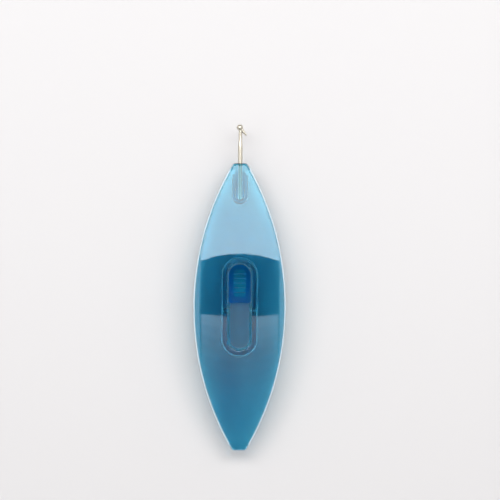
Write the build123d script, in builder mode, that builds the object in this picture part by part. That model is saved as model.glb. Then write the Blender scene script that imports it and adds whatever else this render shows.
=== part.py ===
from build123d import *
import os
from math import atan2, degrees, sqrt

# A post-type tatting shuttle of clear plastic with a steel hook, empty of thread.
# Two thin blades, crowned along and across, touch at their tips. A hollow post joins
# them in the middle, and the thread is wound round it, in the bays between the blades.
# +Y runs along the shuttle towards the hook, +X across it and +Z up, and the origin is
# under the middle of the whole shuttle, on the surface that it lies on.

# Body
body_length = 82.5
body_width = 26.5
body_thickness = 13.0
tip_width = 4.0
tip_corner = 1.1
tip_pad = 1.6
blade_wall = 1.5
crown_radius = 36.0
edge_round = 0.85
inner_edge_round = 0.25
overrun = 2.0

# Post, moulded half on each blade
post_width = 9.5
post_length = 27.6
post_wall = 1.45
post_root_round = 0.5
mouth_round = 0.35
floor_wall = 1.6
floor_round = 0.8
glue_line = 0.05
thread_hole_radius = 0.8
thread_hole_drop = 1.1

# Key, pressed through both halves of the post
key_clearance = 0.1
key_length = 11.1
key_height = 6.8
key_corner = 0.5
key_edge_round = 0.25
window_width = 3.3
window_length = 7.9
window_corner = 0.7
window_end_wall = 1.5
web_wall = 0.8
web_seat = 0.3
rib_count = 5
rib_width = 0.4
rib_height = 0.45
rib_pitch = 1.35

# Hook, and the boss that holds it
hook_reach = 11.2
hook_grip = 10.6
hook_radius = 0.65
hook_end_chamfer = 0.15
neck_radius = 0.5
neck_start = 4.6
neck_taper = 2.4
head_radius = 0.9
head_offset = 0.15
lip_reach = 1.62
lip_drop = 2.1
lip_root_radius = 0.6
lip_tip_radius = 0.26
hook_clearance = 0.02
hook_relief = 0.15
boss_width = 4.5
boss_length = 11.8
boss_wall = 0.6
boss_shelf = 0.35
boss_step = 0.9
boss_round = 0.3
boss_clearance = 0.2

# The middle of the body, from which every piece is placed. The crown is cut away by the
# post's recess, so the shuttle lies on the recess's rim, which is a little inside it
rim_x = post_width / 2 - post_wall + mouth_round
rim_drop = crown_radius - sqrt(crown_radius**2 - rim_x**2)
mid_y = -hook_reach / 2
mid_z = body_thickness / 2 - rim_drop
tip_y = body_length / 2
mid = Plane(origin=(0, mid_y, mid_z))

# The same point seen across the shuttle, and the tip's end seen along it
cross_plane = Plane(origin=mid.origin, x_dir=(0, 1, 0), z_dir=(1, 0, 0))
end_plane = Plane(origin=(0, mid_y + tip_y, mid_z), x_dir=(-1, 0, 0), z_dir=(0, 1, 0))

# The blade's long arc: its inner face rises from the tip pads to the middle
inner_rise = body_thickness / 2 - blade_wall
pad_y = body_length / 2 - tip_pad
inner_arc_radius = (pad_y**2 + inner_rise**2) / (2 * inner_rise)
long_radius = inner_arc_radius + blade_wall

# A blade's faces are long arcs turned about the crown's axis, which lies under them
crown_axis_z = mid_z + body_thickness / 2 - crown_radius
crown_axis = Axis((0, mid_y, crown_axis_z), (0, 1, 0))
half_turn = degrees(atan2(body_width / 2 + overrun, mid_z - crown_axis_z))
start_plane = Plane(
    origin=(0, mid_y, crown_axis_z), x_dir=(0, 1, 0), z_dir=(1, 0, 0)
).rotated((0, -half_turn, 0))


def blade_plan():
    """The pointed oval of a blade seen from above: two side arcs and blunt tips."""
    with BuildSketch(mid) as plan:
        with BuildLine():
            right = ThreePointArc(
                (tip_width / 2, -tip_y), (body_width / 2, 0), (tip_width / 2, tip_y)
            )
            left = ThreePointArc(
                (-tip_width / 2, tip_y), (-body_width / 2, 0), (-tip_width / 2, -tip_y)
            )
            Line(right @ 1, left @ 0)
            Line(left @ 1, right @ 0)
        make_face()
        fillet(plan.vertices(), tip_corner)
    return plan.sketch


def wide_plan():
    """A rectangle that stands past the blade on every side."""
    with BuildSketch(mid) as plan:
        Rectangle(body_width + overrun, body_length + overrun)
    return plan.sketch


def post_plan(inset=0, height=0):
    """The post's stadium, inset from its outside, at a height over the middle plane."""
    with BuildSketch(mid.offset(height)) as plan:
        SlotOverall(post_length - 2 * inset, post_width - 2 * inset, rotation=90)
    return plan.sketch


def dome(inset, plan):
    """What lies between the middle plane and a blade's outer face, or a face that is
    inset below it, within a plan."""
    reach = body_length / 2 + overrun
    top = crown_radius - inset
    arc_radius = long_radius - inset
    end = top - arc_radius + sqrt(arc_radius**2 - reach**2)
    low = crown_radius - body_thickness / 2 - overrun
    with BuildPart() as form:
        with BuildSketch(start_plane):
            with BuildLine():
                ThreePointArc((-reach, end), (0, top), (reach, end))
                Polyline((reach, end), (reach, low), (-reach, low), (-reach, end))
            make_face()
        revolve(axis=crown_axis, revolution_arc=2 * half_turn)
        extrude(plan, amount=body_thickness, dir=(0, 0, 1), mode=Mode.INTERSECT)
    return form.part


# The key's outline: round at the end that meets the post's round end, square at the other
key_width = post_width - 2 * post_wall - 2 * key_clearance
key_top_y = post_length / 2 - post_wall - key_clearance
key_low_y = key_top_y - key_length


def key_plan(growth):
    """The key's outline seen from above, grown all round by a clearance."""
    half = key_width / 2 + growth
    shoulder_y = key_top_y - key_width / 2
    low_y = key_low_y - growth
    with BuildSketch(mid) as plan:
        with BuildLine():
            Polyline((-half, shoulder_y), (-half, low_y), (half, low_y), (half, shoulder_y))
            ThreePointArc((half, shoulder_y), (0, shoulder_y + half), (-half, shoulder_y))
        make_face()
    return plan.sketch


foot_height = floor_wall + 2 * floor_round


def recess_foot():
    """The foot of a half post's recess: its rounded floor, and the key's pocket below."""
    with BuildPart() as hollow:
        extrude(post_plan(post_wall, floor_wall), amount=foot_height - floor_wall)
        fillet(hollow.faces().sort_by(Axis.Z)[0].edges(), floor_round)
        extrude(key_plan(key_clearance), amount=foot_height)
    return hollow.part


def crowned_faces(blade):
    """The crowned faces of a blade, from the lowest to the highest."""
    crowned = blade.faces().filter_by(GeomType.REVOLUTION)
    return crowned.sort_by(lambda face: face.bounding_box().max.Z)


def half_shell():
    """One blade with its half of the post, as both halves come out of the mould."""
    with BuildPart() as bay:
        add(dome(blade_wall, wide_plan()))
        extrude(post_plan(), amount=body_thickness, mode=Mode.SUBTRACT)

    with BuildPart() as shell:
        add(dome(0, blade_plan()))
        add(bay.part, mode=Mode.SUBTRACT)
        extrude(wide_plan(), amount=glue_line / 2, mode=Mode.SUBTRACT)
        fillet(crowned_faces(shell)[-1].edges(), edge_round)
        inner_face = crowned_faces(shell)[0]
        long_edges = inner_face.outer_wire().edges().filter_by(lambda edge: edge.length > tip_y)
        fillet(long_edges, inner_edge_round)
        fillet(crowned_faces(shell)[0].inner_wires().edges(), post_root_round)

        # The post's recess, open on the outside, and the key's pocket in its floor
        extrude(post_plan(post_wall, foot_height), amount=body_thickness, mode=Mode.SUBTRACT)
        add(recess_foot(), mode=Mode.SUBTRACT)
        fillet(crowned_faces(shell)[-1].inner_wires().edges(), mouth_round)

        # Half of the thread hole, across the post
        with BuildSketch(cross_plane):
            with Locations((-thread_hole_drop, 0)):
                Circle(thread_hole_radius)
        extrude(amount=post_width, both=True, mode=Mode.SUBTRACT)
    return shell.part


boss_drop = hook_radius + boss_wall


def boss_plan(inset, height):
    """The boss's outline: a slot with one round end in the bay and the other past the tip."""
    with BuildSketch(mid.offset(height)) as plan:
        with Locations((0, tip_y - boss_length / 2 + boss_width / 4)):
            SlotOverall(
                boss_length + boss_width / 2 - 2 * inset, boss_width - 2 * inset, rotation=90
            )
    return plan.sketch


def hook_boss():
    """The boss in the tip: a wide block under the leaf, and a narrower rib below it round
    the hook, cut off where they would meet the other blade's inner face."""
    room = dome(blade_wall + boss_clearance, blade_plan())
    with BuildPart() as form:
        extrude(boss_plan(0, boss_shelf), amount=body_thickness)
        fillet(form.faces().sort_by(Axis.Z)[0].edges(), boss_round)
        extrude(boss_plan(boss_step, -boss_drop), amount=body_thickness)
        fillet(form.faces().sort_by(Axis.Z)[0].edges(), boss_round)
    with BuildPart() as boss:
        add(dome(edge_round, blade_plan()))
        add(mirror(room, about=mid))
        add(form.part, mode=Mode.INTERSECT)
    return boss.part


os.makedirs("parts", exist_ok=True)

# Upper blade, which carries the hook
with BuildPart() as top_blade:
    add(half_shell())
    add(hook_boss())
    with BuildSketch(end_plane):
        Circle(hook_radius + hook_clearance)
    extrude(amount=-hook_grip, mode=Mode.SUBTRACT)
top_blade.part.label = "top_blade"
export_step(top_blade.part, "parts/top_blade.step")


# Lower blade, with a groove that clears the hook where the tips meet
with BuildPart() as bottom_blade:
    add(mirror(half_shell(), about=mid))
    with BuildSketch(end_plane):
        Circle(hook_radius + hook_relief)
    extrude(amount=-hook_grip, mode=Mode.SUBTRACT)
bottom_blade.part.label = "bottom_blade"
export_step(bottom_blade.part, "parts/bottom_blade.step")


# Key, with a ribbed web across its window
window_y = key_top_y - window_end_wall - window_length / 2
with BuildPart() as post_key:
    extrude(key_plan(0), amount=key_height / 2, both=True)
    fillet(post_key.edges().filter_by(Axis.Z).group_by(Axis.Y)[0], key_corner)
    fillet(post_key.faces().sort_by(Axis.Z)[-1].edges(), key_edge_round)
    fillet(post_key.faces().sort_by(Axis.Z)[0].edges(), key_edge_round)
    with BuildSketch(mid.offset(-key_height / 2)):
        with Locations((0, window_y)):
            RectangleRounded(window_width, window_length, window_corner)
    extrude(amount=key_height, mode=Mode.SUBTRACT)
    with BuildSketch(mid):
        with Locations((0, window_y)):
            Rectangle(window_width + 2 * web_seat, window_length + 2 * web_seat)
    extrude(amount=web_wall / 2, both=True)
    with BuildSketch(mid):
        with Locations((0, window_y)):
            with GridLocations(0, rib_pitch, 1, rib_count):
                Rectangle(window_width + 2 * web_seat, rib_width)
    extrude(amount=web_wall / 2 + rib_height, both=True)
post_key.part.label = "post_key"
export_step(post_key.part, "parts/post_key.step")


# Steel hook: a straight shank with a drawn-down neck, a round head set off to the back of
# the neck, and a slanting lip in front of it
head_y = tip_y + hook_reach - head_radius
neck_y = tip_y + neck_start
shank_y = tip_y - hook_grip
head_point = mid.from_local_coords((-head_offset, head_y, 0))
lip_point = mid.from_local_coords((lip_reach, head_y - lip_drop, 0))
with BuildPart() as hook:
    with BuildSketch(mid):
        with BuildLine():
            Polyline(
                (neck_radius, head_y),
                (0, head_y),
                (0, shank_y),
                (hook_radius - hook_end_chamfer, shank_y),
                (hook_radius, shank_y + hook_end_chamfer),
                (hook_radius, neck_y),
            )
            Bezier(
                (hook_radius, neck_y),
                (hook_radius, neck_y + neck_taper / 2),
                (neck_radius, neck_y + neck_taper / 2),
                (neck_radius, neck_y + neck_taper),
            )
            Line((neck_radius, neck_y + neck_taper), (neck_radius, head_y))
        make_face()
    revolve(axis=Axis(mid.origin, (0, 1, 0)))
    with Locations(Plane(origin=head_point, z_dir=lip_point - head_point)):
        Cone(
            lip_root_radius,
            lip_tip_radius,
            (lip_point - head_point).length,
            align=(Align.CENTER, Align.CENTER, Align.MIN),
        )
    with Locations(head_point):
        Sphere(head_radius)
    with Locations(lip_point):
        Sphere(lip_tip_radius)
hook.part.label = "hook"
export_step(hook.part, "parts/hook.step")
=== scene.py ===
from math import cos, pi, radians, sin

import bmesh
import bpy
from mathutils import Euler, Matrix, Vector


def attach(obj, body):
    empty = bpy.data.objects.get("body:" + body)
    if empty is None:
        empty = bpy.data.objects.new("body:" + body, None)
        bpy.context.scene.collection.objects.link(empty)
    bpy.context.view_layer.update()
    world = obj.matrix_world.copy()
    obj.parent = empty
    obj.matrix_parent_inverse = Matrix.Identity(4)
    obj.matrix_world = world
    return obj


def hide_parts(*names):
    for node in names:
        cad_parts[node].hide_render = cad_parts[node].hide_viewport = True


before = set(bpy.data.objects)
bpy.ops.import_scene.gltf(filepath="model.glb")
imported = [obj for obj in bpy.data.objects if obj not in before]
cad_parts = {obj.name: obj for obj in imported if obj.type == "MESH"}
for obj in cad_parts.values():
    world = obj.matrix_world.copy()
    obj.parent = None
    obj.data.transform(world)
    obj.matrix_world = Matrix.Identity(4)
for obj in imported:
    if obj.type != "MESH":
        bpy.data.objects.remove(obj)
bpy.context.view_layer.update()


# Blades
# The two crowned leaves of the shuttle, which the thread clicks in between. Each is moulded
# in clear ocean-blue plastic with its half of the hollow post, and the halves are glued
# together along the post's middle. The faces are polished, and the rims a little less.
mm = 0.001
body_length = 82.5 * mm
body_width = 26.5 * mm
body_tip_width = 4.0 * mm
body_y = -5.6 * mm
body_z = 6.3145 * mm


def add_node(tree, kind, place, **settings):
    """A new node at a place in its tree, with its settings and its input values."""
    node = tree.nodes.new(kind)
    node.location = place
    values = settings.pop("values", {})
    for name, value in settings.items():
        setattr(node, name, value)
    for name, value in values.items():
        node.inputs[name].default_value = value
    return node


def wire(tree, start, end, socket):
    """Links an output socket, or a node's first output, to a node's input."""
    source = start.outputs[0] if hasattr(start, "outputs") else start
    tree.links.new(source, end.inputs[socket])


def add_math(tree, place, operation, first, second=None):
    """The result of a Math node that takes sockets or numbers."""
    node = add_node(tree, "ShaderNodeMath", place, operation=operation)
    for index, value in enumerate((first, second)):
        if isinstance(value, (int, float)):
            node.inputs[index].default_value = value
        elif value is not None:
            wire(tree, value, node, index)
    return node.outputs[0]


def add_mix(tree, place, share, low, high):
    """A colour between two others, by a share that comes from a socket."""
    node = add_node(tree, "ShaderNodeMix", place, data_type="RGBA")
    wire(tree, share, node, "Factor")
    for name, value in (("A", low), ("B", high)):
        socket = [s for s in node.inputs if s.name == name and s.type == "RGBA"][0]
        if isinstance(value, tuple):
            socket.default_value = value
        else:
            tree.links.new(value, socket)
    return [s for s in node.outputs if s.type == "RGBA"][0]


def add_range(tree, place, value, low, high, to_low, to_high):
    """A value carried smoothly from one range to another."""
    node = add_node(
        tree,
        "ShaderNodeMapRange",
        place,
        interpolation_type="SMOOTHSTEP",
        values={"From Min": low, "From Max": high, "To Min": to_low, "To Max": to_high},
    )
    wire(tree, value, node, "Value")
    return node.outputs["Result"]


def add_noise(tree, place, position, scale, detail, stretch=(1, 1, 1)):
    """Noise on the piece's own coordinates, drawn out along an axis where stretch says."""
    before = (place[0] - 200, place[1])
    spread = add_node(tree, "ShaderNodeMapping", before, values={"Scale": stretch})
    noise = add_node(tree, "ShaderNodeTexNoise", place, values={"Scale": scale, "Detail": detail})
    wire(tree, position, spread, "Vector")
    wire(tree, spread, noise, "Vector")
    return noise.outputs["Fac"]


def add_split(tree, place, vector):
    """The X, Y and Z of a vector."""
    parts = add_node(tree, "ShaderNodeSeparateXYZ", place)
    wire(tree, vector, parts, "Vector")
    return parts.outputs


def add_reach(tree, place, across, along):
    """How far away a point is, from how far it is across and along."""
    column, row = place
    across = add_math(tree, (column, row + 80), "MULTIPLY", across, across)
    along = add_math(tree, (column, row - 80), "MULTIPLY", along, along)
    both = add_math(tree, (column + 150, row), "ADD", across, along)
    return add_math(tree, (column + 300, row), "SQRT", both)


def from_middle(tree, position):
    """How far a point is from the body's middle: across it, along it, and up or down."""
    parts = add_split(tree, (-1700, -800), position)
    along = add_math(tree, (-1500, -1000), "SUBTRACT", parts["Y"], body_y)
    up = add_math(tree, (-1500, -1200), "SUBTRACT", parts["Z"], body_z)
    return [
        add_math(tree, (-1350, -800 - 200 * row), "ABSOLUTE", part)
        for row, part in enumerate((parts["X"], along, up))
    ]


# The rim is a little rougher. It also carries a painted highlight, a paler tint and a frosted
# outer line: each fades between two distances from the outline. The rim's upright wall has
# only a share of that.
rim_band = (0.1 * mm, 0.9 * mm)
rim_highlight_line = (0.1 * mm, 0.45 * mm)
rim_roughness = 0.2
rim_highlight_frost = 0.35
rim_wall_share = 0.25


def rim_inset(tree, across, along):
    """How far a point lies inside the blade's side arcs, seen from above."""
    half_length = body_length / 2
    bow = (body_width - body_tip_width) / 2
    arc_radius = (half_length**2 + bow**2) / (2 * bow)
    across = add_math(tree, (-1000, -500), "ADD", across, arc_radius - body_width / 2)
    reach = add_reach(tree, (-800, -600), across, along)
    return add_math(tree, (-300, -600), "SUBTRACT", arc_radius, reach)


# Rounded edges get a painted highlight. A face's lean is 0 when it is upright and 1 when level
upright_lean = (0.15, 0.35)
level_lean = (0.80, 0.90)


def edge_highlight_masks(tree):
    """Two shares: 1 on the rounded edges, which lean between level and upright and get the
    painted highlight, and 0 elsewhere; and 0 on upright faces, and 1 on all others."""
    normal = add_node(tree, "ShaderNodeNewGeometry", (-1700, 800)).outputs["Normal"]
    parts = add_split(tree, (-1500, 800), normal)
    level = add_math(tree, (-1300, 800), "ABSOLUTE", parts["Z"])
    off_upright = add_range(tree, (-1100, 900), level, *upright_lean, 0, 1)
    off_level = add_range(tree, (-1100, 650), level, *level_lean, 1, 0)
    edge_highlight = add_math(tree, (-900, 800), "MULTIPLY", off_upright, off_level)
    return edge_highlight, off_upright


# The recess's mouth runs at a distance round the post's middle line, which ends 9.05 mm each
# way. The boss starts 26 mm from the body's middle and has a side at 2.7 mm.
mouth_straight = 9.05 * mm
mouth_edge = (3.9 * mm, 4.2 * mm)
mouth_highlight_share = 0.3
boss_start = (26 * mm, 28 * mm)
boss_side = (2.7 * mm, 3.0 * mm)


def edge_highlight_share(tree, across, along):
    """How much painted highlight an edge gets: little at the recess's mouth, none at the boss,
    else all.
    """
    off_boss = add_range(tree, (-800, 1500), along, *boss_start, 1, 0)
    beside_boss = add_range(tree, (-800, 1700), across, *boss_side, 0, 1)
    off_boss = add_math(tree, (-600, 1600), "MAXIMUM", off_boss, beside_boss)
    past = add_math(tree, (-1300, 1250), "SUBTRACT", along, mouth_straight)
    past = add_math(tree, (-1150, 1250), "MAXIMUM", past, 0)
    reach = add_reach(tree, (-1000, 1250), across, past)
    off_mouth = add_range(tree, (-600, 1250), reach, *mouth_edge, mouth_highlight_share, 1)
    return add_math(tree, (-500, 1350), "MULTIPLY", off_mouth, off_boss)


# The recess's floor lies within these distances across, along, and up or down
recess_side = (2.6 * mm, 3.2 * mm)
recess_end = (12.0 * mm, 12.4 * mm)
recess_height = (1.7 * mm, 1.8 * mm)
recess_roughness = 0.35


def recess_floor(tree, across, along, up):
    """1 on the floor of the post's recess, which the mould leaves matt, and 0 elsewhere."""
    across = add_range(tree, (-1000, -900), across, *recess_side, 1, 0)
    along = add_range(tree, (-1000, -1150), along, *recess_end, 1, 0)
    up = add_range(tree, (-1000, -1400), up, *recess_height, 1, 0)
    area = add_math(tree, (-800, -1000), "MULTIPLY", across, along)
    return add_math(tree, (-600, -1200), "MULTIPLY", area, up)


# Scales of noise are per metre, so that a cloud is about 11 mm across and a scratch much finer
plastic_ior = 1.49
cloud_scale = 90
polish_scale = 260
flow_scale = 140
flow_depth = 0.02 * mm
scratch_scale = 2400
scratch_depth = 0.001 * mm


def clear_plastic(
    name, deep, pale, polish, absorption, density, edge_highlight_tint, edge_highlight_frost, rim_highlight_tint=None, sheen=1.0
):
    """Clear moulded plastic: a slightly uneven tint, faint flow waves and fine scratches.
    Its rounded edges carry a painted highlight, paler and a little frosted, and so does a blade's
    rim."""
    material = bpy.data.materials.new(name)
    material.use_nodes = True
    tree = material.node_tree
    surface = tree.nodes["Principled BSDF"]
    surface.inputs["IOR"].default_value = plastic_ior
    surface.inputs["Specular Tint"].default_value = (sheen, sheen, sheen, 1)
    position = add_node(tree, "ShaderNodeTexCoord", (-1900, 0)).outputs["Object"]

    clouds = add_noise(tree, (-1100, 400), position, cloud_scale, 3, (1, 0.5, 1))
    clouds = add_range(tree, (-800, 400), clouds, 0.35, 0.65, 0, 1)
    tint = add_mix(tree, (-500, 400), clouds, deep, pale)
    polish_patches = add_noise(tree, (-1100, 100), position, polish_scale, 4)
    rough = add_range(tree, (-800, 100), polish_patches, 0.3, 0.75, *polish)
    edge_highlight, off_upright = edge_highlight_masks(tree)
    if rim_highlight_tint:
        across, along, up = from_middle(tree, position)
        highlight_allowed = edge_highlight_share(tree, across, along)
        edge_highlight = add_math(tree, (-700, 800), "MULTIPLY", edge_highlight, highlight_allowed)
    # Painted highlight on the rounded edges: a tint of their own, and less clear, so a little
    # frosted
    tint = add_mix(tree, (-400, 600), edge_highlight, tint, edge_highlight_tint)
    clear = add_math(tree, (-400, 800), "MULTIPLY", edge_highlight, -edge_highlight_frost)
    clear = add_math(tree, (-250, 800), "ADD", clear, 1)
    if rim_highlight_tint:
        # Painted highlight on a blade's rim: a paler tint and a frosted outer line. The added
        # roughness is the rim's own finish
        inset = rim_inset(tree, across, along)
        rim = add_range(tree, (-100, -600), inset, *rim_band, 1, 0)
        rim_share = add_math(tree, (-200, -600), "MAXIMUM", off_upright, rim_wall_share)
        rim = add_math(tree, (-50, -500), "MULTIPLY", rim, rim_share)
        tint = add_mix(tree, (-250, 400), rim, tint, rim_highlight_tint)
        rim_rough = add_math(tree, (-450, -200), "MULTIPLY", rim, rim_roughness)
        rough = add_math(tree, (-250, 100), "ADD", rough, rim_rough)
        line = add_range(tree, (-300, -450), inset, *rim_highlight_line, 1, 0)
        line = add_math(tree, (-200, -450), "MULTIPLY", line, rim_share)
        line = add_math(tree, (-250, -350), "MULTIPLY", line, -rim_highlight_frost)
        clear = add_math(tree, (-100, -350), "ADD", clear, line)
        frost = recess_floor(tree, across, along, up)
        frost = add_math(tree, (-450, -300), "MULTIPLY", frost, recess_roughness)
        rough = add_math(tree, (-150, 100), "ADD", rough, frost)
    wire(tree, tint, surface, "Base Color")
    wire(tree, rough, surface, "Roughness")
    wire(tree, clear, surface, "Transmission Weight")

    flow = add_noise(tree, (-1100, -200), position, flow_scale, 2, (1, 0.35, 1))
    scratches = add_noise(tree, (-1100, -400), position, scratch_scale, 2, (1, 0.03, 1))
    waves = add_node(
        tree, "ShaderNodeBump", (-500, -100), values={"Strength": 0.5, "Distance": flow_depth}
    )
    marks = add_node(
        tree, "ShaderNodeBump", (-300, -200), values={"Strength": 0.25, "Distance": scratch_depth}
    )
    wire(tree, flow, waves, "Height")
    wire(tree, scratches, marks, "Height")
    wire(tree, waves, marks, "Normal")
    wire(tree, marks, surface, "Normal")

    body = add_node(tree, "ShaderNodeVolumeAbsorption", (0, -400))
    body.inputs["Color"].default_value = absorption
    body.inputs["Density"].default_value = density
    wire(tree, body, tree.nodes["Material Output"], "Volume")
    return material


# The lower blade reflects less, as its bright faces would show twice through the upper one
for blade, sheen in (("top_blade", 1.0), ("bottom_blade", 0.1)):
    plastic = clear_plastic(
        f"{blade}_plastic",
        deep=(0.27, 0.72, 0.88, 1),
        pale=(0.32, 0.79, 0.93, 1),
        polish=(0.015, 0.04),
        absorption=(0, 0.6, 0.9, 1),
        density=35,
        # The edge tint and frost are a painted highlight
        edge_highlight_tint=(0.25, 0.86, 1, 1),
        edge_highlight_frost=0.42,
        # The rim tint is a painted highlight
        rim_highlight_tint=(0.86, 0.95, 1, 1),
        sheen=sheen,
    )
    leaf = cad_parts[blade]
    leaf.data.materials.clear()
    leaf.data.materials.append(plastic)


# Key
# The small key that stands in the post's recess and ties its two halves. It is moulded in
# the same clear plastic in a deeper blue, round at one end, and pressed in. Its window is
# closed by a thin web with ribs across it.
key_plastic = clear_plastic(
    "deep_blue_plastic",
    deep=(0.22, 0.90, 1, 1),
    pale=(0.28, 0.94, 1, 1),
    polish=(0.02, 0.06),
    absorption=(0, 0.66, 0.94, 1),
    density=380,
    # The edge tint and frost are a painted highlight
    edge_highlight_tint=(0.25, 0.80, 1, 1),
    edge_highlight_frost=0.12,
    sheen=0.2,
)


def shape_tree(name, sizes):
    """A Geometry Nodes tree with a mesh in and out and a named input for each size."""
    tree = bpy.data.node_groups.new(name, "GeometryNodeTree")
    tree.interface.new_socket("Geometry", in_out="INPUT", socket_type="NodeSocketGeometry")
    tree.interface.new_socket("Geometry", in_out="OUTPUT", socket_type="NodeSocketGeometry")
    kinds = {int: "NodeSocketInt", float: "NodeSocketFloat"}
    for size, value in sizes.items():
        kind = kinds.get(type(value), "NodeSocketVector")
        tree.interface.new_socket(size, in_out="INPUT", socket_type=kind)
    tree.nodes.new("NodeGroupInput").location = (-1200, 0)
    tree.nodes.new("NodeGroupOutput").location = (1400, 0)
    return tree


sharp_angle = radians(30)


def shaped_piece(name, mesh, tree, sizes, material, finishing=None):
    """Runs a tree on a mesh with its sizes set, and keeps the result as a plain mesh."""
    source = bpy.data.objects.new(f"{name}_source", mesh)
    bpy.context.scene.collection.objects.link(source)
    if finishing:
        finishing(source)
    shaping = source.modifiers.new("shaping", "NODES")
    shaping.node_group = tree
    for item in tree.interface.items_tree:
        if item.in_out == "INPUT" and item.name in sizes:
            shaping[item.identifier] = sizes[item.name]
    evaluated = source.evaluated_get(bpy.context.evaluated_depsgraph_get())
    made = bpy.data.meshes.new_from_object(evaluated)
    bpy.data.objects.remove(source)
    made.name = name
    made.materials.clear()
    made.materials.append(material)
    made.shade_smooth()
    made.set_sharp_from_angle(angle=sharp_angle)
    piece = bpy.data.objects.new(name, made)
    bpy.context.scene.collection.objects.link(piece)
    return piece


key_width = 6.4 * mm
key_top_y = 12.25 * mm
key_length = 11.1 * mm
key_height = 6.8 * mm
key_corner = 0.5 * mm
key_edge = 0.25 * mm
key_edge_angle = radians(60)
key_edge_steps = 4
key_corner_steps = 6
key_end_steps = 40
window_size = (3.3 * mm, 7.9 * mm, 9.0 * mm)
window_corner = 0.7 * mm
window_corner_steps = 8
cutter_join = 0.001 * mm
window_end_wall = 1.5 * mm
window_y = body_y + key_top_y - window_end_wall - window_size[1] / 2
web_seat = 0.3 * mm
web_thickness = 0.8 * mm
web_size = (window_size[0] + 2 * web_seat, window_size[1] + 2 * web_seat, web_thickness)
rib_count = 5
rib_pitch = 1.35 * mm
rib_width = 0.44 * mm
rib_rise = 0.25 * mm
rib_sides = 24


def key_block():
    """The key's plain block: a round end towards the hook and two small corners at the other."""
    half = key_width / 2
    low_y = body_y + key_top_y - key_length
    shoulder_y = body_y + key_top_y - half
    corner_y = low_y + key_corner
    turns = [
        (half - key_corner, corner_y, key_corner, -pi / 2, 0, key_corner_steps),
        (0, shoulder_y, half, 0, pi, key_end_steps),
        (key_corner - half, corner_y, key_corner, pi, 3 * pi / 2, key_corner_steps),
    ]
    outline = []
    for x, y, radius, first, last, steps in turns:
        for step in range(steps + 1):
            angle = first + (last - first) * step / steps
            outline.append((x + radius * cos(angle), y + radius * sin(angle)))
    block = bmesh.new()
    under = [block.verts.new((x, y, body_z - key_height / 2)) for x, y in outline]
    over = [block.verts.new((x, y, body_z + key_height / 2)) for x, y in outline]
    block.faces.new(list(reversed(under)))
    block.faces.new(over)
    for index in range(len(outline)):
        after = (index + 1) % len(outline)
        block.faces.new((under[index], under[after], over[after], over[index]))
    bmesh.ops.recalc_face_normals(block, faces=block.faces)
    mesh = bpy.data.meshes.new("key_block")
    block.to_mesh(mesh)
    block.free()
    return mesh


def round_key_edges(block):
    """The key's outer edges are broken all round, top and bottom."""
    bevel = block.modifiers.new("edges", "BEVEL")
    bevel.width = key_edge
    bevel.segments = key_edge_steps
    bevel.limit_method = "ANGLE"
    bevel.angle_limit = key_edge_angle


key_sizes = {
    "Window size": window_size,
    "Window corner": window_corner,
    "Window place": (0.0, window_y, body_z),
    "Web size": web_size,
    "Rib count": rib_count,
    "Rib pitch": rib_pitch,
    "Rib width": rib_width,
    "Rib rise": rib_rise,
}
key_tree = shape_tree("ribbed_key", key_sizes)
given = key_tree.nodes["Group Input"].outputs

# The window is a rounded oblong, cut right through the block
window_parts = add_split(key_tree, (-1000, 300), given["Window size"])
oblong = add_node(key_tree, "GeometryNodeCurvePrimitiveQuadrilateral", (-800, 300))
wire(key_tree, window_parts["X"], oblong, "Width")
wire(key_tree, window_parts["Y"], oblong, "Height")
rounding = add_node(key_tree, "GeometryNodeFilletCurve", (-600, 300), mode="POLY")
rounding.inputs["Count"].default_value = window_corner_steps
wire(key_tree, oblong, rounding, "Curve")
wire(key_tree, given["Window corner"], rounding, "Radius")
face = add_node(key_tree, "GeometryNodeFillCurve", (-400, 300), mode="NGONS")
wire(key_tree, rounding, face, "Curve")
cutter = add_node(key_tree, "GeometryNodeExtrudeMesh", (-200, 300))
cutter.inputs["Individual"].default_value = False
wire(key_tree, face, cutter, "Mesh")
wire(key_tree, window_parts["Z"], cutter, "Offset Scale")
under_face = add_node(key_tree, "GeometryNodeFlipFaces", (-200, 100))
wire(key_tree, face, under_face, "Mesh")
cutter_parts = add_node(key_tree, "GeometryNodeJoinGeometry", (0, 300))
wire(key_tree, cutter, cutter_parts, "Geometry")
wire(key_tree, under_face, cutter_parts, "Geometry")
cutter_shell = add_node(key_tree, "GeometryNodeMergeByDistance", (150, 300))
cutter_shell.inputs["Distance"].default_value = cutter_join
wire(key_tree, cutter_parts, cutter_shell, "Geometry")
half_way = add_math(key_tree, (150, 100), "MULTIPLY", window_parts["Z"], -0.5)
drop = add_node(key_tree, "ShaderNodeCombineXYZ", (300, 100))
wire(key_tree, half_way, drop, "Z")
low_place = add_node(key_tree, "ShaderNodeVectorMath", (450, 100), operation="ADD")
wire(key_tree, given["Window place"], low_place, 0)
wire(key_tree, drop, low_place, 1)
cutter_placed = add_node(key_tree, "GeometryNodeTransform", (500, 300))
wire(key_tree, cutter_shell, cutter_placed, "Geometry")
wire(key_tree, low_place, cutter_placed, "Translation")
cut = add_node(key_tree, "GeometryNodeMeshBoolean", (700, 300), operation="DIFFERENCE")
wire(key_tree, given["Geometry"], cut, "Mesh 1")
wire(key_tree, cutter_placed, cut, "Mesh 2")

# The web closes it half way down
web = add_node(key_tree, "GeometryNodeMeshCube", (-400, -100))
wire(key_tree, given["Web size"], web, "Size")
web_placed = add_node(key_tree, "GeometryNodeTransform", (500, -100))
wire(key_tree, web, web_placed, "Geometry")
wire(key_tree, given["Window place"], web_placed, "Translation")

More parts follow.
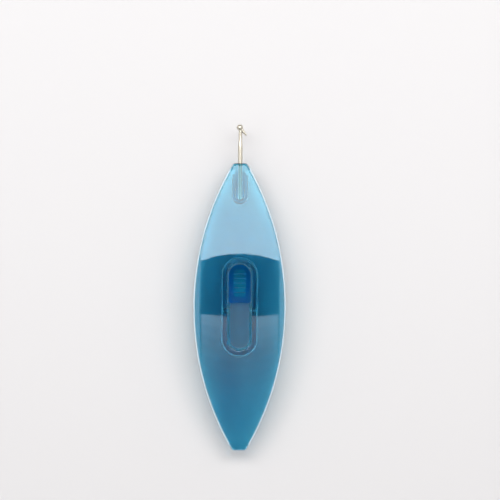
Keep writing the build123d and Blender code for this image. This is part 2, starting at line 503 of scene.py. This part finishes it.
# Round-topped ribs run across the web, at an even pitch
web_parts = add_split(key_tree, (-1000, -400), given["Web size"])
rib_height = add_math(key_tree, (-800, -500), "MULTIPLY", given["Rib rise"], 2)
rib_height = add_math(key_tree, (-600, -500), "ADD", rib_height, web_parts["Z"])
rib_half = add_math(key_tree, (-800, -650), "MULTIPLY", given["Rib width"], 0.5)
rib_scale = add_math(key_tree, (-600, -650), "DIVIDE", rib_height, given["Rib width"])
rib_bar = add_node(key_tree, "GeometryNodeMeshCylinder", (-400, -400))
rib_bar.inputs["Vertices"].default_value = rib_sides
wire(key_tree, rib_half, rib_bar, "Radius")
wire(key_tree, web_parts["X"], rib_bar, "Depth")
rib_turned = add_node(key_tree, "GeometryNodeTransform", (-200, -400))
rib_turned.inputs["Rotation"].default_value = (0, pi / 2, 0)
wire(key_tree, rib_bar, rib_turned, "Geometry")
rib_stretch = add_node(key_tree, "ShaderNodeCombineXYZ", (-200, -650), values={"X": 1, "Y": 1})
wire(key_tree, rib_scale, rib_stretch, "Z")
rib_raised = add_node(key_tree, "GeometryNodeTransform", (0, -400))
wire(key_tree, rib_turned, rib_raised, "Geometry")
wire(key_tree, rib_stretch, rib_raised, "Scale")
gaps = add_math(key_tree, (-800, -800), "SUBTRACT", given["Rib count"], 1)
first_rib = add_math(key_tree, (-600, -800), "MULTIPLY", gaps, given["Rib pitch"])
first_rib = add_math(key_tree, (-400, -800), "MULTIPLY", first_rib, -0.5)
first_place = add_node(key_tree, "ShaderNodeCombineXYZ", (-200, -800))
wire(key_tree, first_rib, first_place, "Y")
rib_step = add_node(key_tree, "ShaderNodeCombineXYZ", (-200, -950))
wire(key_tree, given["Rib pitch"], rib_step, "Y")
rib_start = add_node(key_tree, "ShaderNodeVectorMath", (0, -800), operation="ADD")
wire(key_tree, given["Window place"], rib_start, 0)
wire(key_tree, first_place, rib_start, 1)
rib_line = add_node(key_tree, "GeometryNodeMeshLine", (200, -700), mode="OFFSET")
wire(key_tree, given["Rib count"], rib_line, "Count")
wire(key_tree, rib_start, rib_line, "Start Location")
wire(key_tree, rib_step, rib_line, "Offset")
ribs = add_node(key_tree, "GeometryNodeInstanceOnPoints", (400, -400))
wire(key_tree, rib_line, ribs, "Points")
wire(key_tree, rib_raised, ribs, "Instance")
real_ribs = add_node(key_tree, "GeometryNodeRealizeInstances", (600, -400))
wire(key_tree, ribs, real_ribs, "Geometry")

whole = add_node(key_tree, "GeometryNodeMeshBoolean", (850, 0), operation="UNION", solver="EXACT")
for shell in (cut, web_placed, real_ribs):
    wire(key_tree, shell, whole, "Mesh 2")
real_key = add_node(key_tree, "GeometryNodeRealizeInstances", (1050, 0))
wire(key_tree, whole.outputs["Mesh"], real_key, "Geometry")
finished_key = add_node(key_tree, "GeometryNodeSetMaterial", (1200, 0))
finished_key.inputs["Material"].default_value = key_plastic
wire(key_tree, real_key, finished_key, "Geometry")
wire(key_tree, finished_key, key_tree.nodes["Group Output"], "Geometry")

key = shaped_piece("ribbed_key", key_block(), key_tree, key_sizes, key_plastic, round_key_edges)
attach(key, "root")
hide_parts("post_key")


# Hook
# A short crochet hook of polished steel wire, with a drawn-down neck and a ground head and
# lip that run into each other. Its plain end is held in the boss in the upper blade's tip.
tip_y = body_y + body_length / 2
hook_grip = 10.6 * mm
hook_reach = 11.2 * mm
head_offset = -0.15 * mm
lip_reach = 1.62 * mm
lip_drop = 2.1 * mm
shank_start = tip_y - hook_grip
shank_radius = 0.65 * mm
neck_radius = 0.5 * mm
neck_start = tip_y + 4.6 * mm
neck_end = tip_y + 7.0 * mm
head_radius = 0.9 * mm
head_place = (head_offset, tip_y + hook_reach - head_radius, body_z)
lip_place = (lip_reach, head_place[1] - lip_drop, body_z)
lip_root_radius = 0.62 * mm
lip_tip_radius = 0.26 * mm
hook_voxel = 0.055 * mm
grinding_strength = 0.5
grinding_passes = 24
wire_sides = 40
ball_levels = 5
shank_points = 120
lip_points = 20

hook_sizes = {
    "Shank start": (0.0, shank_start, body_z),
    "Neck top": (0.0, head_place[1], body_z),
    "Shank radius": shank_radius,
    "Neck radius": neck_radius,
    "Neck start": neck_start,
    "Neck end": neck_end,
    "Head place": head_place,
    "Head radius": head_radius,
    "Lip place": lip_place,
    "Lip root radius": lip_root_radius,
    "Lip tip radius": lip_tip_radius,
}
hook_tree = shape_tree("wire_hook", hook_sizes)
given = hook_tree.nodes["Group Input"].outputs
round_section = add_node(hook_tree, "GeometryNodeCurvePrimitiveCircle", (-200, -400))
round_section.inputs["Resolution"].default_value = wire_sides
round_section.inputs["Radius"].default_value = 1
wires = []

# The shank and the lip are both wires whose radius changes along them
for row, (near, far) in enumerate((("Shank start", "Neck top"), ("Head place", "Lip place"))):
    height = 400 - 700 * row
    axis = add_node(hook_tree, "GeometryNodeCurvePrimitiveLine", (-900, height))
    wire(hook_tree, given[near], axis, "Start")
    wire(hook_tree, given[far], axis, "End")
    points = add_node(hook_tree, "GeometryNodeResampleCurve", (-700, height), mode="COUNT")
    points.inputs["Count"].default_value = (shank_points, lip_points)[row]
    wire(hook_tree, axis, points, "Curve")
    taper = add_node(hook_tree, "ShaderNodeMapRange", (-700, height - 250))
    taper.interpolation_type = ("SMOOTHSTEP", "LINEAR")[row]
    if row == 0:
        place = add_node(hook_tree, "GeometryNodeInputPosition", (-1100, height - 250))
        along = add_split(hook_tree, (-900, height - 250), place)["Y"]
        wire(hook_tree, along, taper, "Value")
        bounds = ("Neck start", "Neck end", "Shank radius", "Neck radius")
        for name, socket in zip(bounds, ("From Min", "From Max", "To Min", "To Max")):
            wire(hook_tree, given[name], taper, socket)
    else:
        share = add_node(hook_tree, "GeometryNodeSplineParameter", (-900, height - 250))
        wire(hook_tree, share.outputs["Factor"], taper, "Value")
        for name, socket in (("Lip root radius", "To Min"), ("Lip tip radius", "To Max")):
            wire(hook_tree, given[name], taper, socket)
    body = add_node(hook_tree, "GeometryNodeCurveToMesh", (0, height))
    body.inputs["Fill Caps"].default_value = True
    wire(hook_tree, points, body, "Curve")
    wire(hook_tree, round_section.outputs["Curve"], body, "Profile Curve")
    wire(hook_tree, taper.outputs["Result"], body, "Scale")
    wires.append(body.outputs[0])

# The head and the lip's end are round
round_ends = (("Head place", "Head radius"), ("Lip place", "Lip tip radius"))
for row, (centre, radius) in enumerate(round_ends):
    ball = add_node(hook_tree, "GeometryNodeMeshIcoSphere", (0, -700 - 300 * row))
    ball.inputs["Subdivisions"].default_value = ball_levels
    wire(hook_tree, given[radius], ball, "Radius")
    placed = add_node(hook_tree, "GeometryNodeTransform", (200, -700 - 300 * row))
    wire(hook_tree, ball.outputs["Mesh"], placed, "Geometry")
    wire(hook_tree, given[centre], placed, "Translation")
    wires.append(placed.outputs[0])

joined = add_node(hook_tree, "GeometryNodeJoinGeometry", (500, 0))
for shell in wires:
    wire(hook_tree, shell, joined, "Geometry")
finished_hook = add_node(hook_tree, "GeometryNodeRealizeInstances", (800, 0))
wire(hook_tree, joined, finished_hook, "Geometry")


steel_deep = (0.58, 0.54, 0.45, 1)
steel_pale = (0.62, 0.58, 0.49, 1)
steel_polish = (0.30, 0.34)
steel_patch_scale = 420
steel_line_scale = 900
steel_line_depth = 0.0004 * mm


def polished_steel():
    """Polished steel: drawing lines on the wire, and a few duller patches."""
    material = bpy.data.materials.new("hook_steel")
    material.use_nodes = True
    tree = material.node_tree
    surface = tree.nodes["Principled BSDF"]
    surface.inputs["Metallic"].default_value = 1
    position = add_node(tree, "ShaderNodeTexCoord", (-1500, 0)).outputs["Object"]
    patches = add_noise(tree, (-900, 300), position, steel_patch_scale, 3)
    tint = add_mix(tree, (-400, 300), patches, steel_deep, steel_pale)
    wire(tree, tint, surface, "Base Color")
    rough = add_range(tree, (-650, 0), patches, 0.3, 0.7, *steel_polish)
    wire(tree, rough, surface, "Roughness")
    lines = add_noise(tree, (-900, -300), position, steel_line_scale, 2, (0.3, 14, 0.3))
    bump = add_node(
        tree,
        "ShaderNodeBump",
        (-400, -300),
        values={"Strength": 0.2, "Distance": steel_line_depth},
    )
    wire(tree, lines, bump, "Height")
    wire(tree, bump, surface, "Normal")
    return material


steel = polished_steel()
steel_faces = add_node(hook_tree, "GeometryNodeSetMaterial", (1100, 0))
steel_faces.inputs["Material"].default_value = steel
wire(hook_tree, finished_hook, steel_faces, "Geometry")
wire(hook_tree, steel_faces, hook_tree.nodes["Group Output"], "Geometry")
hook = shaped_piece("steel_hook", bpy.data.meshes.new("no_faces"), hook_tree, hook_sizes, steel)

# The wires and balls become one skin, and its joints are worked smooth as grinding does
skin = hook.modifiers.new("skin", "REMESH")
skin.mode = "VOXEL"
skin.voxel_size = hook_voxel
skin.use_smooth_shade = True
ground = hook.modifiers.new("grinding", "SMOOTH")
ground.factor = grinding_strength
ground.iterations = grinding_passes
evaluated_hook = hook.evaluated_get(bpy.context.evaluated_depsgraph_get())
ground_mesh = bpy.data.meshes.new_from_object(evaluated_hook)
hook.modifiers.clear()
hook.data = ground_mesh
hook.data.name = "steel_hook"
hook.data.materials.clear()
hook.data.materials.append(steel)
hook.data.shade_smooth()
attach(hook, "root")
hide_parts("hook")


# Floor
# Plain pale paper, which runs far past the view on every side.
floor_half = 2.0
floor_gap = 0.02 * mm
paper_colour = (0.66, 0.646, 0.65, 1)
paper_roughness = 0.9
paper_shine = 0.1
floor_mesh = bpy.data.meshes.new("floor")
floor_ends = [(-1, -1), (1, -1), (1, 1), (-1, 1)]
floor_corners = [(x * floor_half, y * floor_half, -floor_gap) for x, y in floor_ends]
floor_mesh.from_pydata(floor_corners, [], [(0, 1, 2, 3)])
floor = bpy.data.objects.new("floor", floor_mesh)
bpy.context.scene.collection.objects.link(floor)
paper = bpy.data.materials.new("pale_paper")
paper.use_nodes = True
surface = paper.node_tree.nodes["Principled BSDF"]
surface.inputs["Base Color"].default_value = paper_colour
surface.inputs["Roughness"].default_value = paper_roughness
surface.inputs["Specular IOR Level"].default_value = paper_shine
floor_mesh.materials.append(paper)


# Light
# Soft panels overhead, as in a light tent: a main one past the hook end, a weak one that
# fades towards the tail, and one along each side that lights the rims. The gap between the
# first two is what leaves the middle of the shuttle dark.
panel_height = 0.6
main_near, main_far = 0.123, 0.40
main_side, weak_side, tent_side = 0.47, 0.45, 0.72
tent_end = 0.6
main_radiance = 4.9
weak_radiance = 1.7
side_radiance = 1.5
strip_count = 12
strip_width = 0.03
strip_start = -0.038
strip_fade = 0.81


def overhead_panel(name, from_x, to_x, from_y, to_y, radiance):
    """A level soft light, between two edges each way. Its power is 4 times area by radiance."""
    lamp = bpy.data.lights.new(name, "AREA")
    lamp.shape = "RECTANGLE"
    lamp.size, lamp.size_y = to_x - from_x, to_y - from_y
    lamp.energy = 4 * lamp.size * lamp.size_y * radiance
    panel = bpy.data.objects.new(name, lamp)
    panel.location = ((from_x + to_x) / 2, (from_y + to_y) / 2, panel_height)
    bpy.context.scene.collection.objects.link(panel)
    return panel


overhead_panel("main_light", -main_side, main_side, main_near, main_far, main_radiance)
for strip in range(strip_count):
    near = strip_start - strip * strip_width
    radiance = weak_radiance * strip_fade**strip
    far = near - strip_width
    overhead_panel(f"weak_light_{strip}", -weak_side, weak_side, far, near, radiance)
overhead_panel("left_light", -tent_side, -main_side, -tent_end, tent_end, side_radiance)
overhead_panel("right_light", main_side, tent_side, -tent_end, tent_end, side_radiance)

# The tent's walls glow up to a height, and its roof between the panels is nearly dark
wall_top = (0.42, 0.58)
wall_glow = 0.65
roof_glow = 0.08
world = bpy.data.worlds.new("studio")
world.use_nodes = True
tent = world.node_tree
direction = add_node(tent, "ShaderNodeTexCoord", (-700, 0)).outputs["Generated"]
height = add_split(tent, (-500, 0), direction)["Z"]
walls = add_range(tent, (-300, 0), height, *wall_top, wall_glow, roof_glow)
background = tent.nodes["Background"]
background.inputs["Color"].default_value = (1, 1, 1, 1)
wire(tent, walls, background, "Strength")
bpy.context.scene.world = world


# Camera
# Straight above the shuttle, a metre up, with the hook end at the top of the picture.
mm_per_pixel = 0.2875
photo_side = 500
body_pixel = (239.6, 306.8)
body_roll = radians(0.26)
camera_distance = 1.0
sensor_width = 36
light_bounces = 32
offset = Vector(
    (
        (photo_side / 2 - body_pixel[0]) * mm_per_pixel * mm,
        (body_pixel[1] - photo_side / 2) * mm_per_pixel * mm,
        camera_distance,
    )
)
roll = Euler((0, 0, body_roll))
offset.rotate(roll)
camera_data = bpy.data.cameras.new("camera")
camera_data.sensor_width = sensor_width
camera_data.lens = sensor_width * camera_distance / (photo_side * mm_per_pixel * mm)
camera = bpy.data.objects.new("camera", camera_data)
camera.location = Vector((0, body_y, body_z)) + offset
camera.rotation_euler = roll
bpy.context.scene.collection.objects.link(camera)
bpy.context.scene.camera = camera
bpy.context.scene.view_settings.view_transform = "Standard"
bpy.context.scene.cycles.max_bounces = light_bounces
bpy.context.scene.cycles.transmission_bounces = light_bounces
